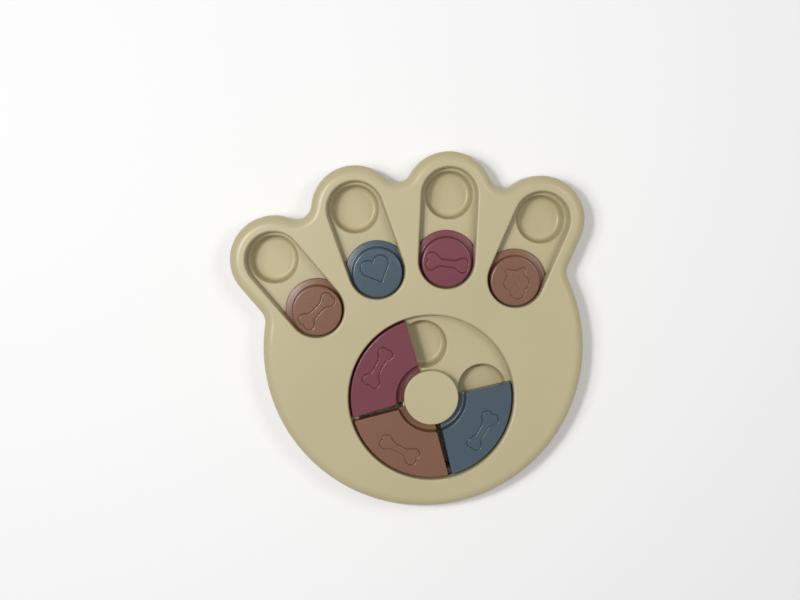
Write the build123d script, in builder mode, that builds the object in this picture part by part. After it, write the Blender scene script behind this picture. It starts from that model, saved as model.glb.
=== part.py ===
from build123d import *
import os
from math import acos, asin, cos, isclose, radians, sin

# Paw-shaped puzzle plate for pets, in millimetres.
# +Z is up, +Y runs from the palm to the toes, and the origin lies on the surface
# that the plate stands on, under the middle of its overall box.

# Paw outline
palm_radius = 100.0
palm_border = 17.0  # flat between the ring mouth and the palm's lower edge
toe_border = 9.4  # flat round the end of each slot mouth
valley_radius = 10.0  # rounding of the valleys between the toes
edge_round = 6.0  # rounding of the cover's outer top edge

# Heights
foot_stand = 2.0  # gap between the surface and the cover's lower edge
cover_height = 25.0
slot_depth = 10.0  # cover's top face down to the deck

# Cover
cover_wall = 2.2
cover_roof = 2.5
collar_wall = 1.8  # wall that hangs round each mouth
rim_round = 1.2  # rounding of each mouth's upper edge
mouth_draft = 0.9  # how much a mouth narrows from its rim to its throat

# Toe slots
slot_mouth_radius = 17.7
slot_run = 40.5  # between the centres of a slot's two ends
middle_web = 8.3  # flat between the two inner slots' lower ends
side_web = 9.2  # flat between an inner and an outer slot's lower ends
inner_ring_border = 16.4  # flat between the ring mouth and an inner slot
outer_ring_border = 20.8  # flat between the ring mouth and an outer slot
inner_lean = 11.0  # degrees between an inner slot and the paw's axis
outer_lean = 32.0  # degrees between an outer slot and the paw's axis

# Ring channel
ring_mouth_radius = 52.0
ring_wells = 4
hub_radius = 17.0
hub_post_radius = 11.0
hub_roof = 2.4
hub_wall = 2.0
hub_round = 0.9

# Tray
tray_wall = 1.6
deck_thickness = 2.2
cup_wall = 1.8
cup_floor = 2.0
well_mouth_radius = 15.1
well_draft = 1.3  # how much a well narrows from its mouth to its floor
well_mouth_round = 0.8
well_floor_round = 2.5
rib_width = 1.6
rib_height = 7.0

# Sliders: toe pucks and ring sliders
flange_thickness = 2.4
flange_lap = 3.0  # how far a flange reaches under a mouth's throat
flange_round = 0.5
slider_wall = 2.0
puck_radius = 15.5  # button at its root
puck_taper = 0.4
puck_round = 1.3
puck_root_round = 0.6
puck_proud = 0.4  # button's top above the cover's top face
block_sink = 0.5  # ring slider's top below the cover's top face
block_taper = 0.35
block_round = 0.8
block_corner = 1.2
block_inset = 4.5  # flat of the inner flange that shows beside the hub cap
slider_span = 85.5  # degrees
slider_gap = 2.6  # degrees between neighbouring ring sliders at rest
lead_edge = 87.8  # degrees clockwise from the toes to the first ring slider

# Raised figures on the sliders
figure_height = 0.5
toe_1_turn = 38.0  # degrees that each puck's figure lies turned
toe_2_turn = 16.0
toe_3_turn = -17.0
toe_4_turn = -6.0
figure_margin = 1.3  # flat left on a button beyond the ends of its bone
bone_shaft = 5.4
bone_knob_radius = 3.1
bone_end_width = 11.0
bone_fillet = 1.2
slider_bone_length = 28.0
bone_inset = 13.1  # bone's middle in from a ring slider's outer edge
heart_lobe_radius = 4.8
heart_lobe_spread = 4.2
heart_tip_radius = 1.0
heart_depth = 15.5
acorn_cap_width = 15.6
acorn_cap_height = 8.6
acorn_cap_drop = 1.0  # cap's middle below the figure's middle
acorn_nut_radius = 5.7
acorn_tip_radius = 4.4
acorn_tip_drop = 5.9
acorn_leaf_root_radius = 3.6
acorn_leaf_tip_radius = 1.5
acorn_leaf_spread = 4.9
acorn_leaf_rise = 7.4

# Fastenings and feet
boss_radius = 4.0
boss_inset = 15.5  # screw centre in from the palm's edge
boss_along_slot = 0.75  # share of the slot's run beside which the valley screws stand
side_screw_angle = 82.0  # degrees from the palm's lower end
low_screw_angle = 47.0
screw_radius = 1.4
screw_head_radius = 2.9
screw_head_height = 1.9
screw_drive_width = 0.7
screw_drive_reach = 1.7
screw_drive_depth = 1.0
hub_screw_grip = 4.5  # thread length inside the hub cap
foot_radius = 9.0
foot_thickness = 3.0
foot_round = 0.6
foot_seat_wall = 1.5
foot_post_angle = 26.0  # degrees from the palm's lower end
foot_post_core = 6.5

# Clearances
fit_gap = 0.3  # between nested fixed pieces
glide_gap = 0.2  # under a flange
lift_gap = 0.4  # above a flange
stop_gap = 0.3  # between a button and its slot's end, at each stop
turn_gap = 0.5  # round the hub post, and between a block and the ring throat
thread_gap = 0.05
pass_gap = 0.4  # round a screw where it passes the deck

# Levels
cover_top = foot_stand + cover_height
deck_top = cover_top - slot_depth
deck_under = deck_top - deck_thickness
foot_seat_top = foot_thickness
cup_under = foot_seat_top  # the wells reach down to the feet
well_floor = cup_under + cup_floor
flange_under = deck_top + glide_gap
flange_top = flange_under + flange_thickness
collar_under = flange_top + lift_gap
roof_under = cover_top - cover_roof

# Radii that follow from the fits
slot_throat_radius = slot_mouth_radius - mouth_draft
ring_throat_radius = ring_mouth_radius - mouth_draft
puck_flange_radius = slot_throat_radius + flange_lap
ring_flange_radius = ring_throat_radius + flange_lap
block_outer_radius = ring_throat_radius - turn_gap
block_inner_radius = hub_radius + block_inset
inner_flange_radius = hub_post_radius + turn_gap
well_floor_radius = well_mouth_radius - well_draft
ring_well_at = hub_radius + well_mouth_radius + well_mouth_round
toe_radius = slot_mouth_radius + toe_border
puck_bone_length = 2 * (puck_radius - puck_taper - puck_round - figure_margin)
bone_at = block_outer_radius - bone_inset
rib_span = 2 * ring_flange_radius - rib_width
puck_set_in = slot_throat_radius - puck_radius - stop_gap

# Layout of the toes, first from the ring's axis
inner_end_at = ring_mouth_radius + inner_ring_border + slot_mouth_radius
outer_end_at = ring_mouth_radius + outer_ring_border + slot_mouth_radius
end_pitch = 2 * slot_mouth_radius + side_web
inner_end_turn = asin((slot_mouth_radius + middle_web / 2) / inner_end_at)
outer_end_turn = inner_end_turn + acos(
    (inner_end_at**2 + outer_end_at**2 - end_pitch**2) / (2 * inner_end_at * outer_end_at)
)
inner_well_y = inner_end_at * cos(inner_end_turn) + slot_run * cos(radians(inner_lean))
outer_well_y = outer_end_at * cos(outer_end_turn) + slot_run * cos(radians(outer_lean))
paw_top = max(inner_well_y, outer_well_y) + toe_radius
paw_bottom = -(ring_mouth_radius + palm_border)
ring_y = -(paw_top + paw_bottom) / 2
palm_y = ring_y + paw_bottom + palm_radius


def slot_end(side, end_at, end_turn):
    """Centre of a slot's lower end on one side (-1 left, 1 right) of the paw."""
    return side * end_at * sin(end_turn), ring_y + end_at * cos(end_turn)


def along(toe, distance):
    """Point at a distance from the slot's lower end, towards the toe's tip."""
    x, y, lean = toe
    return x + distance * sin(radians(lean)), y + distance * cos(radians(lean))


def palm_point(angle, side):
    """Point in from the palm's edge, at an angle from its lower end."""
    reach = palm_radius - boss_inset
    return side * reach * sin(radians(angle)), palm_y - reach * cos(radians(angle))


def middle(a, b):
    """Point halfway between two points."""
    return (a[0] + b[0]) / 2, (a[1] + b[1]) / 2


# Toes from left to right: lower end of the slot and its lean from the paw's axis
toes = [
    (*slot_end(-1, outer_end_at, outer_end_turn), -outer_lean),
    (*slot_end(-1, inner_end_at, inner_end_turn), -inner_lean),
    (*slot_end(1, inner_end_at, inner_end_turn), inner_lean),
    (*slot_end(1, outer_end_at, outer_end_turn), outer_lean),
]
toe_wells = [along(toe, slot_run) for toe in toes]
ring_well_turns = [360 / ring_wells * k for k in range(ring_wells)]
channel_wells = [
    (ring_well_at * sin(radians(turn)), ring_y + ring_well_at * cos(radians(turn)))
    for turn in ring_well_turns
]
wells = toe_wells + channel_wells
beside = [along(toe, boss_along_slot * slot_run) for toe in toes]
screw_points = [middle(beside[k], beside[k + 1]) for k in range(len(toes) - 1)]
screw_points += [palm_point(side_screw_angle, side) for side in (-1, 1)]
screw_points += [palm_point(low_screw_angle, side) for side in (-1, 1)]
foot_posts = [palm_point(foot_post_angle, side) for side in (-1, 1)]
foot_points = toe_wells + foot_posts


def slot_place(toe):
    """Location of a slot's middle, its X axis along the slot."""
    x, y = along(toe, slot_run / 2)
    return Location((x, y), 90 - toe[2])


def paw_outline(inset):
    """Outline of the paw, moved in from the cover's outer face."""
    with BuildSketch() as outline:
        with Locations((0, palm_y)):
            Circle(palm_radius)
        for toe in toes:
            with Locations(slot_place(toe)):
                SlotCenterToCenter(slot_run, 2 * toe_radius)
        offset(amount=valley_radius)
        offset(amount=-valley_radius - inset)
    return outline.sketch


def save(part, name):
    """Label a finished piece and write it to its own file."""
    part.label = name
    export_step(part, f"parts/{name}.step")


os.makedirs("parts", exist_ok=True)

# Hollow of the cover, rounded like its outer edge
with BuildPart() as cover_hollow:
    with BuildSketch(Plane.XY.offset(foot_stand)):
        add(paw_outline(cover_wall))
    extrude(amount=roof_under - foot_stand)
    fillet(cover_hollow.faces().sort_by(Axis.Z)[-1].edges(), edge_round - cover_wall)

# Top cover: shell with hanging collars round its mouths and screw bosses under its roof
with BuildPart() as cover:
    with BuildSketch(Plane.XY.offset(foot_stand)):
        add(paw_outline(0))
    extrude(amount=cover_height)
    fillet(cover.faces().sort_by(Axis.Z)[-1].edges(), edge_round)
    add(cover_hollow.part, mode=Mode.SUBTRACT)
    with BuildSketch(Plane.XY.offset(collar_under)):
        for toe in toes:
            with Locations(slot_place(toe)):
                SlotCenterToCenter(slot_run, 2 * (slot_mouth_radius + collar_wall))
        with Locations((0, ring_y)):
            Circle(ring_mouth_radius + collar_wall)
    extrude(amount=roof_under - collar_under)
    with BuildSketch(Plane.XY.offset(deck_top)):
        with Locations(*screw_points):
            Circle(boss_radius)
    extrude(amount=roof_under - deck_top)
    with BuildSketch(Plane.XY.offset(deck_top)):
        with Locations(*screw_points):
            Circle(screw_radius + thread_gap)
    extrude(amount=roof_under - deck_top, mode=Mode.SUBTRACT)
    for toe in toes:
        with BuildSketch(Plane.XY.offset(collar_under)):
            with Locations(slot_place(toe)):
                SlotCenterToCenter(slot_run, 2 * slot_throat_radius)
        with BuildSketch(Plane.XY.offset(cover_top)):
            with Locations(slot_place(toe)):
                SlotCenterToCenter(slot_run, 2 * slot_mouth_radius)
        loft(ruled=True, mode=Mode.SUBTRACT)
    with Locations((0, ring_y, (collar_under + cover_top) / 2)):
        Cone(
            ring_throat_radius, ring_mouth_radius, cover_top - collar_under, mode=Mode.SUBTRACT
        )
    fillet(cover.faces().sort_by(Axis.Z)[-1].inner_wires().edges(), rim_round)
save(cover.part, "top_cover")

# One well as a solid to cut: drafted wall, rounded floor, rounded mouth
with BuildPart() as well_space:
    with BuildSketch(Plane.XZ) as well_profile:
        with BuildLine():
            Polyline(
                (0, well_floor),
                (well_floor_radius, well_floor),
                (well_mouth_radius, deck_top),
                (0, deck_top),
                close=True,
            )
        make_face()
        floor_corner = well_profile.vertices().group_by(Axis.Y)[0].sort_by(Axis.X)[-1]
        fillet(floor_corner, well_floor_round)
    revolve(axis=Axis.Z)

# One cup as a solid to add round its well
with BuildPart() as cup:
    with BuildSketch(Plane.XZ):
        with BuildLine():
            Polyline(
                (0, cup_under),
                (well_floor_radius + cup_wall, cup_under),
                (well_mouth_radius + cup_wall, deck_top),
                (0, deck_top),
                close=True,
            )
        make_face()
    revolve(axis=Axis.Z)
    fillet(cup.edges().group_by(Axis.Z)[0], cup_floor)

# Base tray: deck with its wells, skirt, ribs, hub post, foot seats and screw holes
with BuildPart() as tray:
    with BuildSketch(Plane.XY.offset(foot_stand + fit_gap)):
        add(paw_outline(cover_wall + fit_gap))
    extrude(amount=deck_top - foot_stand - fit_gap)
    with BuildSketch(Plane.XY.offset(foot_stand + fit_gap)):
        add(paw_outline(cover_wall + fit_gap + tray_wall))
    extrude(amount=deck_under - foot_stand - fit_gap, mode=Mode.SUBTRACT)
    with Locations(*wells):
        add(cup.part)
    with BuildSketch(Plane.XY.offset(deck_under - rib_height)):
        with Locations((0, ring_y)):
            Circle(ring_flange_radius)
            Circle(ring_flange_radius - rib_width, mode=Mode.SUBTRACT)
            for turn in ring_well_turns:
                Rectangle(rib_span, rib_width, rotation=turn + 180 / ring_wells)
    extrude(amount=rib_height)
    with BuildSketch(Plane.XY.offset(foot_stand)):
        with Locations(*foot_points):
            Circle(foot_radius + fit_gap + foot_seat_wall)
    extrude(amount=foot_seat_top - foot_stand)
    with BuildSketch(Plane.XY.offset(foot_seat_top)):
        with Locations(*foot_posts):
            Circle(foot_radius + fit_gap + foot_seat_wall)
    extrude(amount=deck_under - foot_seat_top)
    with BuildSketch(Plane.XY.offset(foot_stand)):
        with Locations(*foot_points):
            Circle(foot_radius + fit_gap)
    extrude(amount=foot_seat_top - foot_stand, mode=Mode.SUBTRACT)
    with BuildSketch(Plane.XY.offset(foot_seat_top)):
        with Locations(*foot_posts):
            Circle(foot_post_core)
    extrude(amount=deck_under - foot_seat_top, mode=Mode.SUBTRACT)
    with BuildSketch(Plane.XY.offset(deck_top)):
        with Locations((0, ring_y)):
            Circle(hub_post_radius)
    extrude(amount=collar_under - deck_top)
    with Locations(*wells):
        add(well_space.part, mode=Mode.SUBTRACT)
    mouths = tray.edges().filter_by(GeomType.CIRCLE).filter_by_position(Axis.Z, deck_top, deck_top)
    fillet(mouths.filter_by(lambda edge: edge.radius > hub_post_radius), well_mouth_round)
    with BuildSketch(Plane.XY.offset(deck_under - rib_height)):
        with Locations(*screw_points, (0, ring_y)):
            Circle(screw_head_radius + pass_gap)
    extrude(amount=rib_height, mode=Mode.SUBTRACT)
    with BuildSketch(Plane.XY.offset(deck_under)):
        with Locations(*screw_points, (0, ring_y)):
            Circle(screw_radius + pass_gap)
    extrude(amount=collar_under - deck_under, mode=Mode.SUBTRACT)
save(tray.part, "base_tray")

# Hub cap: hollow drum with a screw boss in its middle
with BuildPart() as cap:
    with BuildSketch(Plane.XY.offset(collar_under)):
        with Locations((0, ring_y)):
            Circle(hub_radius)
    extrude(amount=cover_top - collar_under)
    fillet(cap.faces().sort_by(Axis.Z)[-1].edges(), hub_round)
    with BuildSketch(Plane.XY.offset(collar_under)):
        with Locations((0, ring_y)):
            Circle(hub_radius - hub_wall)
            Circle(boss_radius, mode=Mode.SUBTRACT)
    extrude(amount=cover_top - collar_under - hub_roof, mode=Mode.SUBTRACT)
    with BuildSketch(Plane.XY.offset(collar_under)):
        with Locations((0, ring_y)):
            Circle(screw_radius + thread_gap)
    extrude(amount=hub_screw_grip, mode=Mode.SUBTRACT)
save(cap.part, "hub_cap")


def tapered(start, start_radius, end, end_radius):
    """Hull of two circles."""
    with BuildSketch() as hull:
        with Locations(start):
            Circle(start_radius)
        with Locations(end):
            Circle(end_radius)
        make_hull()
    return hull.sketch


def bone_figure(length):
    """Bone of a length that lies along X: a shaft with two knobs at each end."""
    knob_x = length / 2 - bone_knob_radius
    knob_y = bone_end_width / 2 - bone_knob_radius
    with BuildSketch() as bone:
        Rectangle(2 * knob_x, bone_shaft)
        with GridLocations(2 * knob_x, 2 * knob_y, 2, 2):
            Circle(bone_knob_radius)
        necks = bone.vertices().filter_by(lambda corner: isclose(abs(corner.Y), bone_shaft / 2))
        fillet(necks, bone_fillet)
    return bone.sketch


def heart_figure():
    """Heart with its point towards -Y."""
    lobe_y = (heart_depth - heart_lobe_radius - heart_tip_radius) / 2
    with BuildSketch() as heart:
        for side in (-1, 1):
            add(
                tapered(
                    (side * heart_lobe_spread, lobe_y),
                    heart_lobe_radius,
                    (0, -lobe_y),
                    heart_tip_radius,
                )
            )
    return heart.sketch


def acorn_figure():
    """Acorn with its tip towards -Y, below a cap and two short leaves."""
    with BuildSketch() as acorn:
        with Locations((0, -acorn_cap_drop)):
            SlotOverall(acorn_cap_width, acorn_cap_height)
        add(
            tapered(
                (0, -acorn_cap_drop), acorn_nut_radius, (0, -acorn_tip_drop), acorn_tip_radius
            )
        )
        for side in (-1, 1):
            add(
                tapered(
                    (side * acorn_leaf_root_radius / 2, acorn_leaf_root_radius),
                    acorn_leaf_root_radius,
                    (side * acorn_leaf_spread, acorn_leaf_rise),
                    acorn_leaf_tip_radius,
                )
            )
    return acorn.sketch


def relief(outline):
    """Figure as a raised solid that stands on the XY plane."""
    with BuildPart() as figure:
        with BuildSketch():
            add(outline)
        extrude(amount=figure_height)
    return figure.part


# Toe puck at the origin: wide flange, tapered button, hollow below
puck_top = cover_top + puck_proud
with BuildPart() as puck_blank:
    with BuildSketch(Plane.XZ) as puck_profile:
        with BuildLine():
            Polyline(
                (0, flange_under),
                (puck_flange_radius, flange_under),
                (puck_flange_radius, flange_top),
                (puck_radius, flange_top),
                (puck_radius - puck_taper, puck_top),
                (0, puck_top),
                close=True,
            )
        make_face()
        shoulder = puck_profile.vertices().group_by(Axis.Y)[1].sort_by(Axis.X)
        crown = puck_profile.vertices().group_by(Axis.Y)[-1].sort_by(Axis.X)[-1]
        fillet(shoulder[0], puck_root_round)
        fillet(shoulder[-1], flange_round)
        fillet(crown, puck_round)
    revolve(axis=Axis.Z)
    with BuildSketch(Plane.XY.offset(flange_under)):
        Circle(puck_radius - puck_taper - slider_wall)
    extrude(amount=puck_top - flange_under - slider_wall, mode=Mode.SUBTRACT)

# The four pucks, each with its figure turned as it lies
puck_bone = relief(bone_figure(puck_bone_length))
puck_figures = [
    (puck_bone, toe_1_turn),
    (relief(heart_figure()), toe_2_turn),
    (puck_bone, toe_3_turn),
    (relief(acorn_figure()), toe_4_turn),
]
for number, (toe, (figure, turn)) in enumerate(zip(toes, puck_figures), start=1):
    x, y = along(toe, -puck_set_in)
    with BuildPart() as puck:
        with Locations((x, y)):
            add(puck_blank.part)
        with Locations(Location((x, y, puck_top), (0, 0, turn))):
            add(figure)
    save(puck.part, f"toe_puck_{number}")


def ring_sector(inner, outer, inset, corner):
    """Ring sector of a slider's span, centred on +Y, its edges moved in and its corners rounded."""

    def corner_point(radius, side):
        angle = radians(slider_span / 2) - asin(inset / radius)
        return side * radius * sin(angle), radius * cos(angle)

    low, high = inner + inset, outer - inset
    with BuildSketch() as sector:
        with BuildLine():
            ThreePointArc(corner_point(high, 1), (0, high), corner_point(high, -1))
            Line(corner_point(high, -1), corner_point(low, -1))
            ThreePointArc(corner_point(low, -1), (0, low), corner_point(low, 1))
            Line(corner_point(low, 1), corner_point(high, 1))
        make_face()
        fillet(sector.vertices(), corner)
    return sector.sketch


# Ring slider at the origin: flange that runs under hub cap and collar, raised block, hollow below
block_top = cover_top - block_sink
with BuildPart() as slider_blank:
    with BuildSketch(Plane.XY.offset(flange_under)):
        add(ring_sector(inner_flange_radius, ring_flange_radius, 0, flange_round))
    extrude(amount=flange_thickness)
    with BuildSketch(Plane.XY.offset(flange_top)):
        add(ring_sector(block_inner_radius, block_outer_radius, 0, block_corner))
    with BuildSketch(Plane.XY.offset(block_top)):
        add(ring_sector(block_inner_radius, block_outer_radius, block_taper, block_corner))
    loft(ruled=True)
    fillet(slider_blank.faces().sort_by(Axis.Z)[-1].edges(), block_round)
    with BuildSketch(Plane.XY.offset(flange_under)):
        add(ring_sector(block_inner_radius, block_outer_radius, slider_wall, block_corner))
    extrude(amount=block_top - flange_under - slider_wall, mode=Mode.SUBTRACT)
    with Locations((0, bone_at, block_top)):
        add(relief(bone_figure(slider_bone_length)))

# The three ring sliders follow each other clockwise from the lead edge
for place, colour in enumerate(("blue", "brown", "plum")):
    turn = lead_edge + slider_span / 2 + place * (slider_span + slider_gap)
    with BuildPart() as slider:
        with Locations(Location((0, ring_y, 0), (0, 0, -turn))):
            add(slider_blank.part)
    save(slider.part, f"ring_slider_{colour}")


def screw(seat, tip):
    """Pan-head screw below its seat, its cross recess facing down, its shank up to the tip."""
    with BuildPart() as body:
        with BuildSketch(Plane.XY.offset(seat - screw_head_height)):
            Circle(screw_head_radius)
        extrude(amount=screw_head_height)
        fillet(body.edges().group_by(Axis.Z)[0], screw_head_height / 2)
        with BuildSketch(Plane.XY.offset(seat)):
            Circle(screw_radius)
        extrude(amount=tip - seat)
        chamfer(body.edges().group_by(Axis.Z)[-1], screw_radius / 2)
        with BuildSketch(Plane.XY.offset(seat - screw_head_height)):
            Rectangle(2 * screw_drive_reach, screw_drive_width)
            Rectangle(screw_drive_width, 2 * screw_drive_reach)
        extrude(amount=screw_drive_depth, mode=Mode.SUBTRACT)
    return body.part


# Cover screws as one group, and the hub screw
with BuildPart() as cover_screws:
    with Locations(*screw_points):
        add(screw(deck_under, roof_under - screw_radius))
save(cover_screws.part, "cover_screws")

with BuildPart() as hub_screw:
    with Locations((0, ring_y)):
        add(screw(deck_under, collar_under + hub_screw_grip - screw_radius))
save(hub_screw.part, "hub_screw")

# Rubber feet: one under each toe well and one in each palm post
for name, point in zip(("toe_1", "toe_2", "toe_3", "toe_4", "palm_left", "palm_right"), foot_points):
    with BuildPart() as foot:
        with BuildSketch():
            with Locations(point):
                Circle(foot_radius)
        extrude(amount=foot_thickness)
        fillet(foot.edges().group_by(Axis.Z)[0], foot_round)
    save(foot.part, f"foot_{name}")
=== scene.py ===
"""Looks of a paw-shaped puzzle plate for pets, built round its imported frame.

All sizes are in metres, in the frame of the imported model: +Z is up, +Y runs from the palm to the toes.
"""

import logging
import math
from dataclasses import dataclass, field
from enum import Enum
from typing import Any

import bmesh
import bpy
import numpy as np
from mathutils import Matrix, Vector
from mathutils.geometry import tessellate_polygon


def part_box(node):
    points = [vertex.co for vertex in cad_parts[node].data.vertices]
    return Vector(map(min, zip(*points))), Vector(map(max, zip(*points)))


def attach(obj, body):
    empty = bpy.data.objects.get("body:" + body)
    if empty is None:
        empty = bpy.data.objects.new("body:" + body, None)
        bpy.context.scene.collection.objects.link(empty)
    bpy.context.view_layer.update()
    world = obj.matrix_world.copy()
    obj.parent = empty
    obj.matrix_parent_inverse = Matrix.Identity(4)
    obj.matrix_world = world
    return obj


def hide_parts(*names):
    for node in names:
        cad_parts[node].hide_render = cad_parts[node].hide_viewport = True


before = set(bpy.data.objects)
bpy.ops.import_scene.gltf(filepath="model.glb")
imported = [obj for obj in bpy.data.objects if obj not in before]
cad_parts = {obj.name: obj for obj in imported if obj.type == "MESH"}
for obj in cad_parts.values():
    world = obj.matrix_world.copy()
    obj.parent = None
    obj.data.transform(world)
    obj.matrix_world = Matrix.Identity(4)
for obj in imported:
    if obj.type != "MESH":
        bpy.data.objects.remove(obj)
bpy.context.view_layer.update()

LOG = logging.getLogger("puzzle_plate")
MM = 0.001
MERGE_DISTANCE = 1e-7
PLATE = "plate"


def linear(red: int, green: int, blue: int) -> tuple[float, float, float, float]:
    """Turn a display colour, 0 to 255, into a linear one with full alpha."""
    shares = (value / 255 for value in (red, green, blue))
    return (*(s / 12.92 if s <= 0.04045 else ((s + 0.055) / 1.055) ** 2.4 for s in shares), 1.0)


# Shader groups


@dataclass
class NodeBench:
    """A node tree with short ways to add, set and link its nodes.

    Attributes:
        tree: The shader or geometry tree that is being built.
    """

    tree: bpy.types.NodeTree

    def add(self, kind: str, settings: dict[str, Any] | None = None, **inputs: Any) -> bpy.types.Node:
        """Add a node, set its options and feed its inputs.

        Args:
            kind: The node's type name.
            settings: Options of the node itself.
            inputs: Values or output sockets by input name, with underscores for spaces.

        Returns:
            The new node.
        """
        node = self.tree.nodes.new(kind)
        for key, value in (settings or {}).items():
            setattr(node, key, value)
        for key, value in inputs.items():
            self.feed(node, key.replace("_", " "), value)
        return node

    def feed(self, node: bpy.types.Node, name: str | int, value: Any) -> None:
        """Set an input to a value, or link it to an output socket.

        Args:
            node: The node to feed.
            name: The input's name or index.
            value: A plain value or an output socket.
        """
        if isinstance(value, bpy.types.NodeSocket):
            self.tree.links.new(value, node.inputs[name])
        else:
            node.inputs[name].default_value = value

    def math(self, operation: str, first: Any, second: Any = 0.0) -> bpy.types.NodeSocket:
        """Add a math node.

        Args:
            operation: The math node's operation.
            first: First value or socket.
            second: Second value or socket.

        Returns:
            The node's output socket.
        """
        node = self.tree.nodes.new("ShaderNodeMath")
        node.operation = operation
        self.feed(node, 0, first)
        self.feed(node, 1, second)
        return node.outputs[0]

    def spread(self, value: Any, low: float, high: float, to_low: Any, to_high: Any) -> bpy.types.NodeSocket:
        """Map a value from one range to another, held at its ends.

        Args:
            value: The socket to map.
            low: Lower end of the range in.
            high: Upper end of the range in.
            to_low: Value or socket for the lower end.
            to_high: Value or socket for the upper end.

        Returns:
            The mapped value.
        """
        node = self.tree.nodes.new("ShaderNodeMapRange")
        for name, given in zip(("Value", "From Min", "From Max", "To Min", "To Max"),
                               (value, low, high, to_low, to_high)):
            self.feed(node, name, given)
        return node.outputs["Result"]

    def scaled(self, vector: Any, factor: Any) -> bpy.types.NodeSocket:
        """Scale a vector or a colour by a factor."""
        node = self.add("ShaderNodeVectorMath", {"operation": "SCALE"}, Vector=vector, Scale=factor)
        return node.outputs["Vector"]

    def square(self, value: Any) -> bpy.types.NodeSocket:
        """Multiply a value by itself."""
        return self.math("POWER", value, 2.0)

    def bend(self, share: Any) -> bpy.types.NodeSocket:
        """Give the height of a quarter circle of radius 1 at a share of its radius, and 0 past it."""
        below = self.math("MAXIMUM", self.math("SUBTRACT", 1.0, self.square(share)), 0.0)
        return self.math("SQRT", below)

    def place(self) -> Any:
        """Give the X, Y and Z of each point as sockets by name."""
        spot = self.add("GeometryNodeInputPosition").outputs["Position"]
        return self.add("ShaderNodeSeparateXYZ", Vector=spot).outputs


class ShaderGroup:
    """A shader node group that is built once and placed in several materials."""

    name: str = ""
    takes: dict[str, str] = {}
    gives: dict[str, str] = {}

    def tree(self) -> bpy.types.ShaderNodeTree:
        """Give the group's tree, building it on the first call.

        Returns:
            The node group.
        """
        made = bpy.data.node_groups.get(self.name)
        if made:
            return made
        made = bpy.data.node_groups.new(self.name, "ShaderNodeTree")
        for label, kind in self.takes.items():
            made.interface.new_socket(name=label, in_out="INPUT", socket_type=kind)
        for label, kind in self.gives.items():
            made.interface.new_socket(name=label, in_out="OUTPUT", socket_type=kind)
        bench = NodeBench(made)
        ends = made.nodes.new("NodeGroupOutput")
        self.wire(bench, made.nodes.new("NodeGroupInput").outputs, ends)
        return made

    def wire(self, bench: NodeBench, given: Any, ends: bpy.types.Node) -> None:
        """Build the group's nodes, from its input sockets to the node that takes its outputs."""
        raise NotImplementedError


class MouldedGrain(ShaderGroup):
    """Grain of an etched mould, with the broad clouds of a poured colour."""

    name = "moulded_grain"
    takes = {"Vector": "NodeSocketVector", "Colour": "NodeSocketColor", "Cloud": "NodeSocketFloat",
             "Fineness": "NodeSocketFloat", "Polish": "NodeSocketFloat"}
    gives = {"Colour": "NodeSocketColor", "Roughness": "NodeSocketFloat", "Height": "NodeSocketFloat"}
    cloud_scale = 16.0
    cloud_band = (0.32, 0.68)
    grain_band = (0.3, 0.7)
    grain_share = 0.45
    grain_harshness = 0.65
    pit_share = 0.5
    rough_spread = 0.05
    rough_cloud = 0.03

    def wire(self, bench: NodeBench, given: Any, ends: bpy.types.Node) -> None:
        """Mix broad clouds, fine grain and small pits.

        Args:
            bench: The tree to build in.
            given: The group's input sockets.
            ends: The node that takes the group's outputs.
        """
        cloud = bench.add("ShaderNodeTexNoise", Vector=given["Vector"], Scale=self.cloud_scale, Detail=4.0)
        grain = bench.add("ShaderNodeTexNoise", Vector=given["Vector"], Scale=given["Fineness"], Detail=3.0,
                          Roughness=self.grain_harshness)
        pits = bench.add("ShaderNodeTexVoronoi", {"feature": "SMOOTH_F1"}, Vector=given["Vector"],
                         Scale=given["Fineness"])
        deep = bench.math("MULTIPLY", given["Cloud"], -1.0)
        broad = bench.spread(cloud.outputs["Fac"], *self.cloud_band, deep, given["Cloud"])
        fine = bench.spread(grain.outputs["Fac"], *self.grain_band, deep, given["Cloud"])
        fine = bench.math("MULTIPLY", fine, self.grain_share)
        factor = bench.math("ADD", bench.math("ADD", broad, fine), 1.0)
        rough = bench.spread(grain.outputs["Fac"], *self.grain_band, -self.rough_spread, self.rough_spread)
        rough = bench.math("ADD", rough, bench.spread(cloud.outputs["Fac"], *self.grain_band,
                                                      -self.rough_cloud, self.rough_cloud))
        hollow = bench.math("MULTIPLY", pits.outputs["Distance"], self.pit_share)
        bench.feed(ends, "Colour", bench.scaled(given["Colour"], factor))
        bench.feed(ends, "Roughness", bench.math("ADD", given["Polish"], rough))
        bench.feed(ends, "Height", bench.math("ADD", grain.outputs["Fac"], hollow))


class Hairlines(ShaderGroup):
    """Fine crossing hairlines that handling leaves on a smooth moulding."""

    name = "hairlines"
    takes = {"Vector": "NodeSocketVector", "Depth": "NodeSocketFloat"}
    gives = {"Mask": "NodeSocketFloat"}
    turns = (0.4, 1.7, 2.6)
    along = 22.0
    across = 1600.0
    band = (0.66, 0.76)

    def wire(self, bench: NodeBench, given: Any, ends: bpy.types.Node) -> None:
        """Lay three sets of stretched noise over each other.

        Args:
            bench: The tree to build in.
            given: The group's input sockets.
            ends: The node that takes the group's outputs.
        """
        total: Any = 0.0
        for turn in self.turns:
            laid = bench.add("ShaderNodeMapping", Vector=given["Vector"], Rotation=(0.0, 0.0, turn),
                             Scale=(self.along, self.across, self.along))
            noise = bench.add("ShaderNodeTexNoise", Vector=laid.outputs["Vector"], Scale=1.0, Detail=1.0)
            total = bench.math("MAXIMUM", total, bench.spread(noise.outputs["Fac"], *self.band, 0.0, 1.0))
        bench.feed(ends, "Mask", bench.math("MULTIPLY", total, given["Depth"]))


# Finishes


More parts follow.
